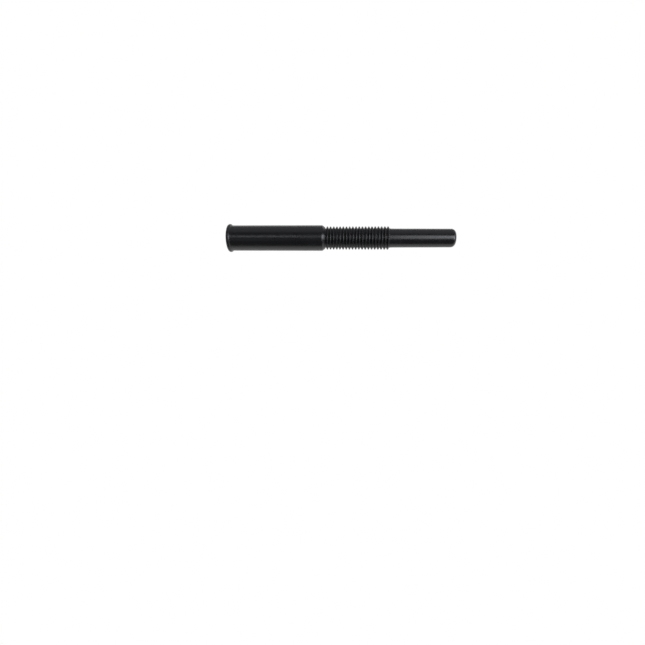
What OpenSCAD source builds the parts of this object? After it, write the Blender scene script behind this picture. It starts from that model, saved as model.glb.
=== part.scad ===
// Flexible pouring spout for a fuel can: a flanged inlet tube, a bellows that bends, and a nozzle.
// Frame: the origin is the centre of the inlet's end face, +X runs along the spout to the tip, +Z is up.
// Every zone is a solid of revolution about X. The rigid crest rings of the bellows are joined
// by thin webs in the roots between them, and each web is a living hinge.

/* [Spout] */
// Overall length, from the inlet's end face to the nozzle's tip
spout_l = 250; // [220:1:300]

/* [Inlet] */
// Outside diameter of the inlet tube, which passes through a can's neck
inlet_d = 27.8; // [26.6:0.1:28.2]
// Wall thickness of the inlet tube
inlet_wall = 1.5; // [1.2:0.1:1.8]
// Length of the straight inlet tube, up to its shoulder
inlet_l = 105; // [60:0.5:106]
// Length of the shoulder, from the straight tube to the first root of the bellows
shoulder_l = 3.8; // [3:0.1:6]
// Radius that rounds the edge of the shoulder
shoulder_round = 1.2; // [0.6:0.1:1.6]
// Diameter of the flange that stops on the can's neck
flange_d = 30.8; // [30.6:0.1:34]
// Thickness of the flange, a rolled bead with a fully rounded rim
flange_t = 4.4; // [3:0.1:4.6]

/* [Bellows] */
// Number of folds
folds = 20; // [6:1:20]
// Distance from one crest to the next
fold_pitch = 3.49; // [3.4:0.01:3.8]
// Diameter over the crests
crest_d = 25.2; // [24.8:0.1:25.6]
// Diameter at the bottom of the roots
root_d = 21; // [20.6:0.1:21.4]
// Outside radius of a crest's round top
crest_round = 0.8; // [0.75:0.01:0.9]
// Outside radius of a root's round bottom
root_round = 0.5; // [0.4:0.01:0.6]
// Wall thickness of the bellows
fold_wall = 0.7; // [0.5:0.05:0.7]
// Length of the thin web in each root that bends as a hinge
hinge_l = 1.6; // [1.4:0.05:1.7]

/* [Nozzle] */
// Outside diameter of the nozzle, which enters a vehicle's filler neck
nozzle_d = 20.2; // [18:0.1:20.4]
// Wall thickness of the nozzle
nozzle_wall = 1.4; // [1.1:0.1:1.7]
// Radius to which the nozzle's mouth is turned in
tip_round = 4.8; // [2:0.1:5.5]

/* [Hidden] */
$fn = 96;
inlet_r = inlet_d / 2;
inlet_bore_r = inlet_r - inlet_wall;
nozzle_r = nozzle_d / 2;
nozzle_bore_r = nozzle_r - nozzle_wall;

// The wave of the bellows: round crests and round roots, joined by straight flanks.
// flank_tilt is the angle between a flank's normal and the radius.
crest_centre_r = crest_d / 2 - crest_round;
root_centre_r = root_d / 2 + root_round;
half_pitch = fold_pitch / 2;
centre_drop = crest_centre_r - root_centre_r;
flank_tilt = asin((crest_round + root_round) / norm([half_pitch, centre_drop])) + atan2(centre_drop, half_pitch);

// The first root sits at the shoulder's foot, and each crest is half a pitch past its root.
first_root_x = inlet_l + shoulder_l;
last_root_x = first_root_x + folds * fold_pitch;
function root_x(i) = first_root_x + (i - 1) * fold_pitch;
function crest_x(i) = root_x(i) + half_pitch;

// A crest ring ends where the webs on both sides of it begin, and its end face runs
// between these two radii. Both come from the wave at that distance from the root.
ring_half = half_pitch - hinge_l / 2;
web_half = hinge_l / 2;
web_outer_r = crest_centre_r + crest_round * cos(flank_tilt)
    - (ring_half - crest_round * sin(flank_tilt)) * tan(flank_tilt);
web_inner_r = root_centre_r - sqrt(pow(root_round + fold_wall, 2) - pow(web_half, 2));
root_bore_r = root_centre_r - root_round - fold_wall;

function two_digits(i) = str(i < 10 ? "0" : "", i);
function fold_name(i) = str("bellows_fold_", two_digits(i));
function root_name(i) = str("bellows_root_", two_digits(i));

// Turns a half section about the spout's axis. In the section, x is the radius
// and y is the distance along the spout.
module spin() {
    rotate([0, 90, 0]) rotate_extrude() children();
}

// Everything inside one side of the wave, over one pitch with the crest at its middle
module wave_section(crest_arc, root_arc) {
    crest_end = [crest_centre_r + crest_arc * cos(flank_tilt), crest_arc * sin(flank_tilt)];
    root_end = [root_centre_r - root_arc * cos(flank_tilt), half_pitch - root_arc * sin(flank_tilt)];
    difference() {
        union() {
            polygon([
                [0, -half_pitch], [root_centre_r, -half_pitch],
                [root_end.x, -root_end.y], [crest_end.x, -crest_end.y],
                crest_end, root_end,
                [root_centre_r, half_pitch], [0, half_pitch]
            ]);
            translate([crest_centre_r, 0]) circle(crest_arc);
        }
        for (side = [-1, 1])
            translate([root_centre_r, side * half_pitch]) circle(root_arc);
    }
}

// The wall of one pitch of the bellows
module wave_wall() {
    difference() {
        wave_section(crest_round, root_round);
        wave_section(crest_round - fold_wall, root_round + fold_wall);
    }
}

// The inlet tube with its rolled flange, and the shoulder that steps down to the bellows
module inlet_tube() {
    rim_r = flange_t / 2;
    rim_centre_r = flange_d / 2 - rim_r;
    shoulder_end_x = first_root_x - web_half;
    // the round edge starts where its arc is tangent to the straight tube
    slope = atan2(inlet_r - web_outer_r, shoulder_end_x - inlet_l);
    edge_x = inlet_l - shoulder_round * tan(slope / 2);
    color([0.12, 0.12, 0.125]) spin() {
        intersection() {
            translate([rim_centre_r, rim_r]) circle(rim_r);
            translate([inlet_bore_r, 0]) square(flange_d / 2);
        }
        polygon([
            [inlet_bore_r, 0], [rim_centre_r, 0],
            [rim_centre_r, rim_r], [inlet_r, rim_r],
            [inlet_r, edge_x],
            [inlet_r - shoulder_round * (1 - cos(slope)), edge_x + shoulder_round * sin(slope)],
            [web_outer_r, shoulder_end_x], [web_inner_r, shoulder_end_x],
            [web_inner_r, inlet_l], [inlet_bore_r, inlet_l - inlet_wall]
        ]);
        intersection() {
            translate([inlet_r - shoulder_round, edge_x]) circle(shoulder_round);
            translate([inlet_bore_r, edge_x]) square(2 * shoulder_round);
        }
    }
}

// One rigid crest ring
module bellows_fold(i) {
    color([0.16, 0.16, 0.165]) translate([crest_x(i), 0, 0]) spin() intersection() {
        wave_wall();
        translate([0, -ring_half]) square([crest_d, 2 * ring_half]);
    }
}

// The half of a web that lies on the inlet's side of a root, or on the nozzle's side
module half_web(side) {
    intersection() {
        translate([0, side * half_pitch]) wave_wall();
        translate([0, side > 0 ? 0 : -web_half]) square([crest_d, web_half]);
    }
}

// One thin web. The first foots the shoulder, and the last steps down to the nozzle.
module bellows_root(i) {
    color([0.05, 0.05, 0.055]) translate([root_x(i), 0, 0]) spin() {
        half_web(-1);
        if (i <= folds) {
            half_web(1);
        } else {
            polygon([
                [root_bore_r, 0], [root_d / 2, 0],
                [nozzle_r, web_half], [nozzle_bore_r, web_half]
            ]);
        }
    }
}

// The nozzle, a plain tube with its mouth turned in
module nozzle_tube() {
    start_x = last_root_x + web_half;
    straight_end_x = spout_l - tip_round;
    mouth_r = nozzle_r - tip_round;
    color([0.14, 0.14, 0.145]) spin() {
        translate([nozzle_bore_r, start_x]) square([nozzle_wall, straight_end_x - start_x]);
        translate([mouth_r, straight_end_x]) intersection() {
            difference() {
                circle(tip_round);
                circle(tip_round - nozzle_wall);
            }
            square(tip_round);
        }
    }
}

inlet_tube();
for (i = [1:folds])
    bellows_fold(i);
for (i = [1:folds + 1])
    bellows_root(i);
nozzle_tube();
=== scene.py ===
import math

import bmesh
import bpy
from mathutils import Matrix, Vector


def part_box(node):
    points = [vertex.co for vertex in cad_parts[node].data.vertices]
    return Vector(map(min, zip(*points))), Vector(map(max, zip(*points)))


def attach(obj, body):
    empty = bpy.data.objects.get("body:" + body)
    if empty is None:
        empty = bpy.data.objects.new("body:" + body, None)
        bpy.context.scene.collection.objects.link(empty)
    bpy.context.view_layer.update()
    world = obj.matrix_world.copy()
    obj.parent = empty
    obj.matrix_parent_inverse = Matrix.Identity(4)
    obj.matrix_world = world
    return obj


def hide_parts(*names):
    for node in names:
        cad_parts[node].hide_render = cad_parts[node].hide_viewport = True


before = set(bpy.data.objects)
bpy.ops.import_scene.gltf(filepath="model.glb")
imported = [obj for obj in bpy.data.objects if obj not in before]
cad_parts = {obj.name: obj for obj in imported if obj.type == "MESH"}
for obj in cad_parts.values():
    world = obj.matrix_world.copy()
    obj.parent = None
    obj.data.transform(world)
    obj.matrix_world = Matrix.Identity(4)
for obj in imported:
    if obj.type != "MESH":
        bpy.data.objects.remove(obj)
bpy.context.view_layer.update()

# ---------------------------------------------------------------- camera
# The spout lies across the view, above its middle. The camera looks steeply down on its front
# side with a wide lens, from a point a little nearer to the bellows than to the inlet.
LENS_MM = 22.77
SENSOR_MM = 36
CAMERA_X = 0.128
CAMERA_REACH = 0.4615
VIEW_RISE = math.radians(66)
CAMERA_TURN_DEG = (12.339, 2.600, 1.159)

camera_data = bpy.data.cameras.new("camera")
camera_data.lens = LENS_MM
camera_data.sensor_width = SENSOR_MM
camera_data.clip_start = 0.01
camera = bpy.data.objects.new("camera", camera_data)
camera.location = (CAMERA_X, -CAMERA_REACH * math.cos(VIEW_RISE), CAMERA_REACH * math.sin(VIEW_RISE))
camera.rotation_euler = [math.radians(turn) for turn in CAMERA_TURN_DEG]
bpy.context.scene.collection.objects.link(camera)
bpy.context.scene.camera = camera
bpy.context.scene.view_settings.view_transform = "Standard"


# ---------------------------------------------------------------- light table
# The spout hangs over a wide white table that is lit from within, so that it throws no shadow.
# The table is low enough for the spout to bend down in front of it.
def node(tree, kind, links=None, **settings):
    """Add a node. Each of its inputs named or numbered in links takes an output or a plain value."""
    added = tree.nodes.new(kind)
    for name, value in settings.items():
        setattr(added, name, value)
    for name, source in (links or {}).items():
        if isinstance(source, bpy.types.NodeSocket):
            tree.links.new(source, added.inputs[name])
        else:
            added.inputs[name].default_value = source
    return added


def linear(hex_colour, alpha=1.0):
    """An sRGB hex colour as a linear one."""
    channels = [int(hex_colour[k:k + 2], 16) / 255 for k in (1, 3, 5)]
    return [c / 12.92 if c <= 0.04045 else ((c + 0.055) / 1.055) ** 2.4 for c in channels] + [alpha]


TABLE_LENGTH = 6.0
TABLE_DEPTH = 1.5
TABLE_Z = -0.16

opal_acrylic = bpy.data.materials.new("opal acrylic light table")
opal_acrylic.use_nodes = True
tree = opal_acrylic.node_tree
tree.nodes.clear()
table_coat = node(tree, "ShaderNodeBsdfPrincipled", {
    "Base Color": linear("#000000"), "Roughness": 1.0, "Specular IOR Level": 0.0,
    "Emission Color": linear("#ffffff"), "Emission Strength": 1.0})
node(tree, "ShaderNodeOutputMaterial", {"Surface": table_coat.outputs["BSDF"]})

table_mesh = bpy.data.meshes.new("light_table")
table_mesh.from_pydata(
    [(x * TABLE_LENGTH / 2, y * TABLE_DEPTH / 2, TABLE_Z) for x, y in ((-1, -1), (1, -1), (1, 1), (-1, 1))],
    [], [(0, 1, 2, 3)])
table_mesh.materials.append(opal_acrylic)
light_table = bpy.data.objects.new("light_table", table_mesh)
bpy.context.scene.collection.objects.link(light_table)


# ---------------------------------------------------------------- studio light
# Softboxes hang in a row over the nozzle and away past its tip, the farther the brighter. A weaker
# strip hangs over the inlet, and a large dim panel stands behind. The front of the studio is dark.
def softbox(name, centre, aim, size, radiance, tint):
    """A rectangular soft light. Its power comes from how bright its face is."""
    lamp = bpy.data.lights.new(name, "AREA")
    lamp.shape = "RECTANGLE"
    lamp.size, lamp.size_y = size
    lamp.energy = radiance * math.pi * size[0] * size[1]
    lamp.color = linear(tint)[:3]
    box = bpy.data.objects.new(name, lamp)
    box.location = centre
    box.rotation_euler = (Vector(aim) - Vector(centre)).to_track_quat("-Z", "Y").to_euler()
    box.visible_camera = False
    bpy.context.scene.collection.objects.link(box)


def across(x, rise_deg, reach):
    """The point at that reach from the spout's axis, raised by that angle from straight in front."""
    rise = math.radians(rise_deg)
    return (x, -reach * math.cos(rise), reach * math.sin(rise))


COOL = "#f7f9ff"

# each hangs over the spout at x, at that rise and reach, and faces the axis at aim_x
for name, x, rise_deg, reach, aim_x, size, radiance in (
        ("nozzle_softbox", 0.36, 77, 0.56, 0.36, (0.24, 0.40), 2.9),
        ("tip_softbox", 0.63, 77, 0.56, 0.5, (0.30, 0.40), 4.4),
        ("end_softbox", 1.10, 78, 0.56, 0.2, (0.70, 0.40), 6.5),
        ("inlet_strip", -0.165, 81, 0.9, -0.165, (0.27, 0.16), 2.7),
        ("bellows_strip", 0.10, 81, 0.9, 0.10, (0.24, 0.16), 1.2),
        ("inlet_fill", -0.30, 50, 0.9, -0.30, (0.40, 0.20), 0.4)):
    softbox(name, across(x, rise_deg, reach), (aim_x, 0.0, 0.0), size, radiance, COOL)
softbox("back_panel", (0.1, 1.1, 0.72), (0.1, 0.0, 0.4), (3.0, 1.6), 0.42, "#f4f5ff")

studio = bpy.data.worlds.new("dark studio")
studio.use_nodes = True
tree = studio.node_tree
tree.nodes.clear()
seen_directly = node(tree, "ShaderNodeLightPath").outputs["Is Camera Ray"]
walls = node(tree, "ShaderNodeMix", {0: seen_directly, 6: linear("#5b5c5e"), 7: linear("#ffffff")},
             data_type="RGBA")
background = node(tree, "ShaderNodeBackground", {"Color": walls.outputs[2]})
node(tree, "ShaderNodeOutputWorld", {"Surface": background.outputs["Background"]})
bpy.context.scene.world = studio


# ---------------------------------------------------------------- inlet tube
# The straight tube that passes through a can's neck, with the rolled flange that stops it there
# and the shoulder that steps down to the bellows. It is blow-moulded in black polyethylene in one
# piece with the rest of the spout, in a mould that parts along both sides.
MM = 0.001


def eased(corners, step_deg=9.0, span=3.0):
    """A run of points (x, radius) through corners (x, radius, rounding).

    Each corner becomes an arc in steps of step_deg, and no straight is longer than span.
    """
    run = [Vector(corners[0][:2])]
    for before, corner, after in zip(corners, corners[1:], corners[2:]):
        turn_at = Vector(corner[:2])
        back, on = (Vector(before[:2]) - turn_at).normalized(), (Vector(after[:2]) - turn_at).normalized()
        half_turn = (math.pi - back.angle(on)) / 2
        if not corner[2] or half_turn < 1e-4:
            run.append(turn_at)
            continue
        middle = turn_at + (back + on).normalized() * corner[2] / math.cos(half_turn)
        reach = corner[2] * math.tan(half_turn)
        first, last = turn_at + back * reach - middle, turn_at + on * reach - middle
        steps = max(2, math.ceil(math.degrees(2 * half_turn) / step_deg))
        for k in range(steps + 1):
            share = k / steps
            spread = math.sin(2 * half_turn)
            run.append(middle + first * (math.sin((1 - share) * 2 * half_turn) / spread)
                       + last * (math.sin(share * 2 * half_turn) / spread))
    run.append(Vector(corners[-1][:2]))
    points = [run[0]]
    for point in run[1:]:
        gap = (point - points[-1]).length
        if gap < 1e-6:
            continue
        parts = max(1, math.ceil(gap / span))
        points += [points[-1].lerp(point, k / parts) for k in range(1, parts + 1)]
    return [(p.x, p.y) for p in points]


def grow_turned_wall():
    """The tree that turns a closed section about X into one wall.

    A section's points are (x, radius, outer), where outer is 1 on the outside and 0 in the bore.
    """
    tree = bpy.data.node_groups.new("turned wall", "GeometryNodeTree")
    tree.interface.new_socket("Section", in_out="INPUT", socket_type="NodeSocketGeometry")
    for name, kind, value in (
            ("Facets", "NodeSocketInt", 144),
            ("Gather at the parting line", "NodeSocketFloat", 0.78),
            ("Parting ridge height", "NodeSocketFloat", 0.10 * MM),
            ("Parting ridge width", "NodeSocketFloat", 0.42 * MM),
            ("Ripple height", "NodeSocketFloat", 0.045 * MM),
            ("Ripple length", "NodeSocketFloat", 11.0 * MM),
            ("Seed", "NodeSocketFloat", 4.0),
            ("Sharpest smooth edge", "NodeSocketFloat", math.radians(38))):
        tree.interface.new_socket(name, in_out="INPUT", socket_type=kind).default_value = value
    tree.interface.new_socket("Finish", in_out="INPUT", socket_type="NodeSocketMaterial")
    tree.interface.new_socket("Wall", in_out="OUTPUT", socket_type="NodeSocketGeometry")
    given = node(tree, "NodeGroupInput").outputs

    # the section, which keeps its own points as an attribute
    outline = node(tree, "GeometryNodeMeshToCurve", {"Mesh": given["Section"]})
    here = node(tree, "GeometryNodeInputPosition").outputs[0]
    section = node(tree, "GeometryNodeStoreNamedAttribute",
                   {"Geometry": outline.outputs["Curve"], "Name": "section", "Value": here},
                   data_type="FLOAT_VECTOR", domain="POINT")

    # the spokes, gathered towards the parting line on both sides so that its ridge has facets
    turn_step = node(tree, "ShaderNodeMath", {0: 2 * math.pi, 1: given["Facets"]}, operation="DIVIDE")
    index = node(tree, "GeometryNodeInputIndex").outputs[0]
    turn = node(tree, "ShaderNodeMath", {0: index, 1: turn_step.outputs[0]},
                operation="MULTIPLY").outputs[0]
    twice = node(tree, "ShaderNodeMath", {0: turn, 1: 2.0}, operation="MULTIPLY").outputs[0]
    swing = node(tree, "ShaderNodeMath", {0: twice}, operation="SINE").outputs[0]
    half_gather = node(tree, "ShaderNodeMath", {0: given["Gather at the parting line"], 1: -0.5},
                       operation="MULTIPLY").outputs[0]
    angle = node(tree, "ShaderNodeMath", {0: swing, 1: half_gather, 2: turn},
                 operation="MULTIPLY_ADD").outputs[0]
    spoke = node(tree, "ShaderNodeCombineXYZ", {
        "Y": node(tree, "ShaderNodeMath", {0: angle}, operation="COSINE").outputs[0],
        "Z": node(tree, "ShaderNodeMath", {0: angle}, operation="SINE").outputs[0]}).outputs[0]
    ring = node(tree, "GeometryNodeCurvePrimitiveCircle", {"Resolution": given["Facets"], "Radius": 1.0})
    spokes = node(tree, "GeometryNodeStoreNamedAttribute",
                  {"Geometry": ring.outputs["Curve"], "Name": "spoke", "Value": spoke},
                  data_type="FLOAT_VECTOR", domain="POINT")
    skin = node(tree, "GeometryNodeCurveToMesh",
                {"Curve": spokes.outputs[0], "Profile Curve": section.outputs[0]}).outputs[0]

    # where each point lies on a perfect wall, which the finish reads at every bend
    along = node(tree, "ShaderNodeSeparateXYZ", {0: node(
        tree, "GeometryNodeInputNamedAttribute", {"Name": "section"},
        data_type="FLOAT_VECTOR").outputs[0]}).outputs
    out = node(tree, "GeometryNodeInputNamedAttribute", {"Name": "spoke"},
               data_type="FLOAT_VECTOR").outputs[0]
    centre = node(tree, "ShaderNodeCombineXYZ", {"X": along["X"]}).outputs[0]
    arm = node(tree, "ShaderNodeVectorMath", {0: out, "Scale": along["Y"]}, operation="SCALE").outputs[0]
    perfect = node(tree, "ShaderNodeVectorMath", {0: arm, 1: centre}, operation="ADD").outputs[0]
    kept = node(tree, "GeometryNodeStoreNamedAttribute",
                {"Geometry": skin, "Name": "rest", "Value": perfect},
                data_type="FLOAT_VECTOR", domain="POINT").outputs[0]

    # the parting ridge, a low rounded rib on the outside at both sides
    off_line = node(tree, "ShaderNodeMath", {0: node(
        tree, "ShaderNodeSeparateXYZ", {0: perfect}).outputs["Z"]}, operation="ABSOLUTE").outputs[0]
    ridge = node(tree, "ShaderNodeMapRange", {
        "Value": off_line, "From Min": 0.0, "From Max": given["Parting ridge width"],
        "To Min": given["Parting ridge height"], "To Max": 0.0}, interpolation_type="SMOOTHSTEP").outputs[0]
    outer_ridge = node(tree, "ShaderNodeMath", {0: ridge, 1: along["Z"]}, operation="MULTIPLY").outputs[0]
    lift = node(tree, "ShaderNodeVectorMath", {0: out, "Scale": outer_ridge}, operation="SCALE").outputs[0]

    # the slow unevenness that a blown wall cools with
    pattern_scale = node(tree, "ShaderNodeMath", {0: 1.0, 1: given["Ripple length"]},
                         operation="DIVIDE").outputs[0]
    wander = node(tree, "ShaderNodeTexNoise", {
        "Vector": perfect, "W": given["Seed"], "Scale": pattern_scale, "Detail": 1.0},
        noise_dimensions="4D").outputs["Color"]
    centred = node(tree, "ShaderNodeVectorMath", {0: wander, 1: (0.5, 0.5, 0.5)},
                   operation="SUBTRACT").outputs[0]
    both_ways = node(tree, "ShaderNodeMath", {0: given["Ripple height"], 1: 2.0},
                     operation="MULTIPLY").outputs[0]
    ripple = node(tree, "ShaderNodeVectorMath", {0: centred, "Scale": both_ways},
                  operation="SCALE").outputs[0]
    moved = node(tree, "ShaderNodeVectorMath", {0: lift, 1: ripple}, operation="ADD").outputs[0]
    placed = node(tree, "GeometryNodeSetPosition",
                  {"Geometry": kept, "Position": perfect, "Offset": moved}).outputs[0]

    # smooth all over but at true edges, then plain mesh in the piece's finish
    smooth = node(tree, "GeometryNodeSetShadeSmooth", {0: placed, "Shade Smooth": True},
                  domain="FACE").outputs[0]
    edge_turn = node(tree, "GeometryNodeInputMeshEdgeAngle").outputs["Unsigned Angle"]
    too_sharp = node(tree, "FunctionNodeCompare", {"A": edge_turn, "B": given["Sharpest smooth edge"]},
                     data_type="FLOAT", operation="GREATER_THAN").outputs[0]
    creased = node(tree, "GeometryNodeSetShadeSmooth",
                   {0: smooth, "Selection": too_sharp, "Shade Smooth": False}, domain="EDGE").outputs[0]
    for spent in ("section", "spoke"):
        creased = node(tree, "GeometryNodeRemoveAttribute", {"Geometry": creased, "Name": spent}).outputs[0]
    whole = node(tree, "GeometryNodeRealizeInstances", {"Geometry": creased}).outputs[0]
    finished = node(tree, "GeometryNodeSetMaterial",
                    {"Geometry": whole, "Material": given["Finish"]}).outputs[0]
    node(tree, "NodeGroupOutput", {"Wall": finished})
    return tree


turned_wall = grow_turned_wall()
turned_wall_inputs = {item.name: item.identifier for item in turned_wall.interface.items_tree
                      if item.in_out == "INPUT"}


def turn(name, outer, bore, finish):
    """Turn a wall between two runs of points, both from the inlet's end to the tip's, in millimetres."""
    loop = [(x * MM, r * MM, 1.0) for x, r in outer]
    loop += [(x * MM, r * MM, 0.0) for x, r in reversed(bore)]
    mesh = bpy.data.meshes.new(name)
    mesh.from_pydata(loop, [(k, (k + 1) % len(loop)) for k in range(len(loop))], [])
    piece = bpy.data.objects.new(name, mesh)
    bpy.context.scene.collection.objects.link(piece)
    modifier = piece.modifiers.new("turned wall", "NODES")
    modifier.node_group = turned_wall
    modifier[turned_wall_inputs["Finish"]] = finish
    wall = bpy.data.meshes.new_from_object(piece.evaluated_get(bpy.context.evaluated_depsgraph_get()))
    piece.modifiers.clear()
    piece.data = wall
    wall.name = name
    shape = bmesh.new()
    shape.from_mesh(wall)
    if shape.calc_volume(signed=True) < 0:
        bmesh.ops.reverse_faces(shape, faces=shape.faces)
        shape.to_mesh(wall)
    shape.free()
    return piece


def black_polyethylene(name, roughness, worn_radius=None, worn_x=None, dusty_radius=None):
    """Blow-moulded black polyethylene, rubbed between two radii or two places along the spout."""
    finish = bpy.data.materials.new(name)
    finish.use_nodes = True
    tree = finish.node_tree
    tree.nodes.clear()
    rest = node(tree, "ShaderNodeAttribute", attribute_name="rest").outputs["Vector"]

    def noise(size, **settings):
        """Noise whose grains are about that size, in metres."""
        links = {"Vector": rest, "Scale": 1 / size, **settings}
        return node(tree, "ShaderNodeTexNoise", links).outputs["Fac"]

    # fine matt grain off the blasted mould, about 0.45 mm, drawn twice as coarse as the real one to show
    grain = noise(0.45 * MM, Detail=2.0)
    # draw lines 0.7 mm apart that the parison takes from its die, running along the spout
    stretched = node(tree, "ShaderNodeMapping", {"Vector": rest, "Scale": (0.02, 1.0, 1.0)}).outputs[0]
    lines = noise(0.7 * MM, Vector=stretched, Detail=3.0, Roughness=0.6)
    # slow patches of 14 mm where the wall left the mould sooner or later
    patches = noise(14 * MM, Detail=2.0)
    # short scuffs from handling, thin cells 2 mm apart and stretched along the spout, in rare patches
    scuff_space = node(tree, "ShaderNodeMapping", {"Vector": rest, "Scale": (0.12, 1.0, 1.0),
                                                   "Rotation": (0.0, 0.1, 0.14)}).outputs[0]
    scuff_lines = node(tree, "ShaderNodeTexVoronoi", {"Vector": scuff_space, "Scale": 1 / (2.0 * MM)},
                       feature="DISTANCE_TO_EDGE").outputs["Distance"]
    thin = node(tree, "ShaderNodeMapRange", {"Value": scuff_lines, "From Min": 0.0, "From Max": 0.03,
                                             "To Min": 1.0, "To Max": 0.0}).outputs[0]
    rare = node(tree, "ShaderNodeMapRange", {"Value": noise(5 * MM, Detail=1.0),
                                             "From Min": 0.52, "From Max": 0.66}).outputs[0]
    scuffs = node(tree, "ShaderNodeMath", {0: thin, 1: rare}, operation="MULTIPLY").outputs[0]

    # rubbed places, in blotches of 1.6 mm
    across_part = node(tree, "ShaderNodeVectorMath", {0: rest, 1: (0.0, 1.0, 1.0)},
                       operation="MULTIPLY").outputs[0]
    radius = node(tree, "ShaderNodeVectorMath", {0: across_part}, operation="LENGTH").outputs["Value"]
    along = node(tree, "ShaderNodeSeparateXYZ", {0: rest}).outputs["X"]
    place, reach = (radius, worn_radius) if worn_radius else (along, worn_x)
    near = node(tree, "ShaderNodeMapRange", {"Value": place, "From Min": reach[0] * MM,
                                             "From Max": reach[1] * MM}).outputs[0]
    blotches = node(tree, "ShaderNodeMapRange", {"Value": noise(1.6 * MM, Detail=4.0),
                                                 "From Min": 0.4, "From Max": 0.66}).outputs[0]
    rubbed = node(tree, "ShaderNodeMath", {0: near, 1: blotches}, operation="MULTIPLY").outputs[0]
    marked = node(tree, "ShaderNodeMath", {0: scuffs, 1: 0.5, 2: rubbed}, operation="MULTIPLY_ADD",
                  use_clamp=True).outputs[0]

    # colour: a black of carbon pigment, a shade greyer where it is rubbed or dusty
    black = node(tree, "ShaderNodeMix", {0: patches, 6: linear("#0c0c0e"), 7: linear("#111113")},
                 data_type="RGBA").outputs[2]
    tone = node(tree, "ShaderNodeMix", {0: marked, 6: black, 7: linear("#262728")},
                data_type="RGBA").outputs[2]
    if dusty_radius:
        low = node(tree, "ShaderNodeMapRange", {"Value": radius, "From Min": dusty_radius[0] * MM,
                                                "From Max": dusty_radius[1] * MM,
                                                "To Min": 0.12, "To Max": 0.0}).outputs[0]
        dust = node(tree, "ShaderNodeMath", {0: low, 1: grain}, operation="MULTIPLY").outputs[0]
        tone = node(tree, "ShaderNodeMix", {0: dust, 6: tone, 7: linear("#2b2a28")},
                    data_type="RGBA").outputs[2]

    # gloss: satin, with the patches and grain in it, and rougher where it is rubbed
    gloss = node(tree, "ShaderNodeMapRange", {
        "Value": patches, "From Min": 0.3, "From Max": 0.7,
        "To Min": roughness - 0.035, "To Max": roughness + 0.035}).outputs[0]
    for pattern, share in ((grain, 0.06), (marked, 0.14)):
        gloss = node(tree, "ShaderNodeMath", {0: pattern, 1: share, 2: gloss},
                     operation="MULTIPLY_ADD").outputs[0]

    # relief: lines, then grain, then the scuffs cut into both
    relief = node(tree, "ShaderNodeBump", {"Height": lines, "Distance": 0.012 * MM,
                                           "Strength": 0.6}).outputs[0]
    relief = node(tree, "ShaderNodeBump", {"Height": grain, "Distance": 0.010 * MM, "Strength": 0.6,
                                           "Normal": relief}).outputs[0]
    relief = node(tree, "ShaderNodeBump", {"Height": scuffs, "Distance": 0.02 * MM, "Strength": 0.5,
                                           "Normal": relief}, invert=True).outputs[0]
    coat = node(tree, "ShaderNodeBsdfPrincipled", {"Base Color": tone, "Roughness": gloss, "IOR": 1.49,
                                                   "Normal": relief})
    node(tree, "ShaderNodeOutputMaterial", {"Surface": coat.outputs["BSDF"]})
    return finish


inlet_high = [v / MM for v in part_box("inlet_tube")[1]]
INLET_R = 13.9
INLET_BORE_R = 12.4
FLANGE_R = inlet_high[2]
BEAD_R = 2.2
BEAD_CENTRE_R = FLANGE_R - BEAD_R
BEAD_FILLET = 0.35
BEAD_STEPS = 22
FILLET_STEPS = 4
MOUTH_ROUND = 0.35
SHOULDER_X = 105.0
SHOULDER_ROUND = 1.2

first_root_low, first_root_high = ([v / MM for v in corner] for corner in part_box("bellows_root_01"))
FIRST_ROOT_X = (first_root_low[0] + first_root_high[0]) / 2
SHOULDER_FOOT = (inlet_high[0], first_root_high[2])
SHOULDER_FOOT_ROUND = 0.3
BORE_CONE = 1.5
BORE_CONE_ROUND = 0.4
BORE_END_R = 10.1

# a root turns like a ball in the feet on both sides of it, which stop this far short of its middle
ROOT_R = 10.5
FOOT_GAP = 0.5
FOOT_CLEARANCE = 0.02
SOCKET_R = ROOT_R + FOOT_CLEARANCE
SOCKET_DEPTH = 2.15
SHOULDER_END_R = 10.9


def rolled_bead():
    """The flange's bead as a run of corners: round from the end face over the rim to a small fillet."""
    fall_to_tube = INLET_R + BEAD_FILLET - BEAD_CENTRE_R
    last = math.asin(fall_to_tube / (BEAD_R + BEAD_FILLET))
    corners = []
    for k in range(1, BEAD_STEPS + 1):
        swing = math.pi - (math.pi - last) * k / BEAD_STEPS
        corners.append((BEAD_R + BEAD_R * math.cos(swing), BEAD_CENTRE_R + BEAD_R * math.sin(swing), 0))
    fillet_x = BEAD_R + (BEAD_R + BEAD_FILLET) * math.cos(last)
    for k in range(1, FILLET_STEPS + 1):
        swing = math.pi + last + (math.pi / 2 - last) * k / FILLET_STEPS
        corners.append((fillet_x + BEAD_FILLET * math.cos(swing),
                        INLET_R + BEAD_FILLET + BEAD_FILLET * math.sin(swing), 0))
    return corners


# Satin black polyethylene off a blasted steel mould: a soft grey sheen with faint draw lines along
# the tube, and the flange's rim rubbed a little paler.
inlet_satin = black_polyethylene("satin black polyethylene of the inlet", roughness=0.27,
                                 worn_radius=(14.5, 15.2))

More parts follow.
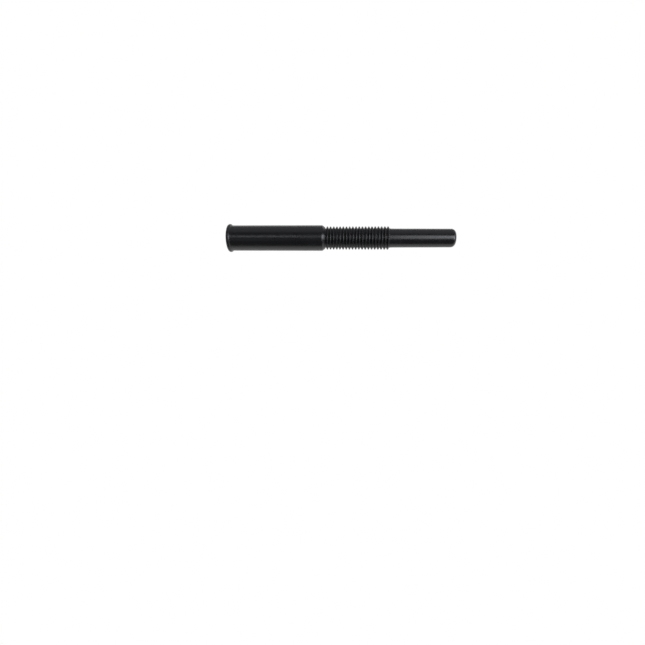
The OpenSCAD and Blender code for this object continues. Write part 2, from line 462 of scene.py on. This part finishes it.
inlet = turn(
    "inlet_tube_skin",
    eased([(0, BEAD_CENTRE_R, 0)] + rolled_bead()
          + [(SHOULDER_X, INLET_R, SHOULDER_ROUND), (*SHOULDER_FOOT, SHOULDER_FOOT_ROUND),
             (FIRST_ROOT_X - FOOT_GAP, SHOULDER_END_R, 0)]),
    eased([(0, BEAD_CENTRE_R, 0), (0, INLET_BORE_R, MOUTH_ROUND),
           (SHOULDER_X - BORE_CONE, INLET_BORE_R, BORE_CONE_ROUND),
           (SHOULDER_X, BORE_END_R, BORE_CONE_ROUND),
           (FIRST_ROOT_X - SOCKET_DEPTH, BORE_END_R, 0), (FIRST_ROOT_X - SOCKET_DEPTH, SOCKET_R, 0),
           (FIRST_ROOT_X - FOOT_GAP, SOCKET_R, 0)])[1:],
    inlet_satin)
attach(inlet, "inlet")
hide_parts("inlet_tube")

# ---------------------------------------------------------------- bellows
# Twenty folds of thinner wall, each a stiff ring round its crest, moulded in one with the tubes. Each
# root between two is a living hinge, drawn as a band of a ball that turns under both folds' feet.
FOLDS = 20
last_root_low, last_root_high = ([v / MM for v in corner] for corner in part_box("bellows_root_21"))
LAST_ROOT_X = (last_root_low[0] + last_root_high[0]) / 2
PITCH = (LAST_ROOT_X - FIRST_ROOT_X) / FOLDS
CREST_R = 12.6
CREST_ROUND = 0.8
ROOT_ROUND = 0.5
FOLD_WALL = 0.7
FOOT_ROUND = 0.12
BAND_HALF = 1.3
BAND_STEPS = 6

# the flanks are tangent to the crests' and the roots' rounding, and flank_tilt is how far their
# normal leans from the radius
centre_drop = (CREST_R - CREST_ROUND) - (ROOT_R + ROOT_ROUND)
flank_tilt = (math.asin((CREST_ROUND + ROOT_ROUND) / math.hypot(PITCH / 2, centre_drop))
              + math.atan2(centre_drop, PITCH / 2))
crest_bite = math.tan(flank_tilt / 2)


def from_root(radius, root_arc):
    """How far from its root a flank, tangent to that arc about the root's centre, reaches a radius."""
    start_r = ROOT_R + ROOT_ROUND - root_arc * math.cos(flank_tilt)
    return root_arc * math.sin(flank_tilt) + (radius - start_r) / math.tan(flank_tilt)


def fold_ring(root_x):
    """The outside and the bore of the fold that follows a root."""
    crest_x, next_root_x = root_x + PITCH / 2, root_x + PITCH
    foot_r = ROOT_R + ROOT_ROUND * (1 - math.cos(flank_tilt)) + (
        FOOT_GAP - ROOT_ROUND * math.sin(flank_tilt)) * math.tan(flank_tilt)
    outer_bite, bore_bite = crest_bite * CREST_ROUND, crest_bite * (CREST_ROUND - FOLD_WALL)
    socket = from_root(SOCKET_R, ROOT_ROUND + FOLD_WALL)
    outer = [(root_x + FOOT_GAP, SOCKET_R, 0), (root_x + FOOT_GAP, foot_r, FOOT_ROUND),
             (crest_x - outer_bite, CREST_R, CREST_ROUND), (crest_x + outer_bite, CREST_R, CREST_ROUND),
             (next_root_x - FOOT_GAP, foot_r, FOOT_ROUND), (next_root_x - FOOT_GAP, SOCKET_R, 0)]
    bore = [(root_x + FOOT_GAP, SOCKET_R, 0), (root_x + socket, SOCKET_R, 0),
            (crest_x - bore_bite, CREST_R - FOLD_WALL, CREST_ROUND - FOLD_WALL),
            (crest_x + bore_bite, CREST_R - FOLD_WALL, CREST_ROUND - FOLD_WALL),
            (next_root_x - socket, SOCKET_R, 0), (next_root_x - FOOT_GAP, SOCKET_R, 0)]
    return eased(outer, step_deg=8.0), eased(bore, step_deg=16.0)[1:-1]


def ball_band(root_x, bore_r, before, after):
    """The outside and the bore of a band of a ball about a root, so far before and after its middle."""
    runs = []
    for radius in (ROOT_R, bore_r):
        start, end = math.asin(-before / radius), math.asin(after / radius)
        swings = [start + (end - start) * k / BAND_STEPS for k in range(BAND_STEPS + 1)]
        runs.append([(root_x + radius * math.sin(swing), radius * math.cos(swing)) for swing in swings])
    return runs


# The same polyethylene, blown thinner: the crests are rubbed paler by handling, and the roots are
# matt and hold a little dust.
bellows_satin = black_polyethylene("satin black polyethylene of the bellows", roughness=0.30,
                                   worn_radius=(12.35, 12.62), dusty_radius=(10.5, 11.2))

for i in range(1, FOLDS + 1):
    root_x = FIRST_ROOT_X + (i - 1) * PITCH
    band_runs = ball_band(root_x, ROOT_R - FOLD_WALL, BAND_HALF, BAND_HALF)
    band = turn(f"root_band_{i:02d}", *band_runs, bellows_satin)
    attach(band, f"web_{i:02d}")
    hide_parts(f"bellows_root_{i:02d}")

    ring = turn(f"fold_ring_{i:02d}", *fold_ring(root_x), bellows_satin)
    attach(ring, f"fold_{i:02d}")
    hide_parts(f"bellows_fold_{i:02d}")

# ---------------------------------------------------------------- nozzle
# A plain tube that enters a vehicle's filler neck, with its mouth turned in to a smaller opening.
# It is moulded in one piece with the bellows, whose last root foots it.
NOZZLE_R = 10.1
NOZZLE_DRAFT = 0.15
NOZZLE_WALL = 1.4
TIP_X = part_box("nozzle_tube")[1][0] / MM
TIP_ROUND = 4.8
FOOT_DEPTH = 0.3
NOZZLE_START_X = LAST_ROOT_X - FOOT_DEPTH
COLLAR_END = last_root_high[0] - LAST_ROOT_X
COLLAR_WALL = 0.1

# The same polyethylene from a smoother part of the mould, a little glossier, with its tip rubbed by
# filler necks.
nozzle_gloss = black_polyethylene("semi-gloss black polyethylene of the nozzle", roughness=0.25,
                                  worn_x=(246.5, 249.6))

# the last root is a thin collar that the nozzle's foot turns in
collar_runs = ball_band(LAST_ROOT_X, ROOT_R - COLLAR_WALL, BAND_HALF, COLLAR_END)
collar = turn("root_band_21", *collar_runs, bellows_satin)
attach(collar, "web_21")
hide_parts("bellows_root_21")

nozzle = turn(
    "nozzle_tube_skin",
    eased([(NOZZLE_START_X, NOZZLE_R + NOZZLE_DRAFT, 0), (TIP_X, NOZZLE_R - NOZZLE_DRAFT, TIP_ROUND),
           (TIP_X, NOZZLE_R - TIP_ROUND, 0.0)], step_deg=6.0),
    eased([(NOZZLE_START_X, NOZZLE_R - NOZZLE_WALL, 0),
           (TIP_X - NOZZLE_WALL, NOZZLE_R - NOZZLE_WALL, TIP_ROUND - NOZZLE_WALL),
           (TIP_X - NOZZLE_WALL, NOZZLE_R - TIP_ROUND, 0.0)], step_deg=8.0),
    nozzle_gloss)
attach(nozzle, "nozzle")
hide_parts("nozzle_tube")
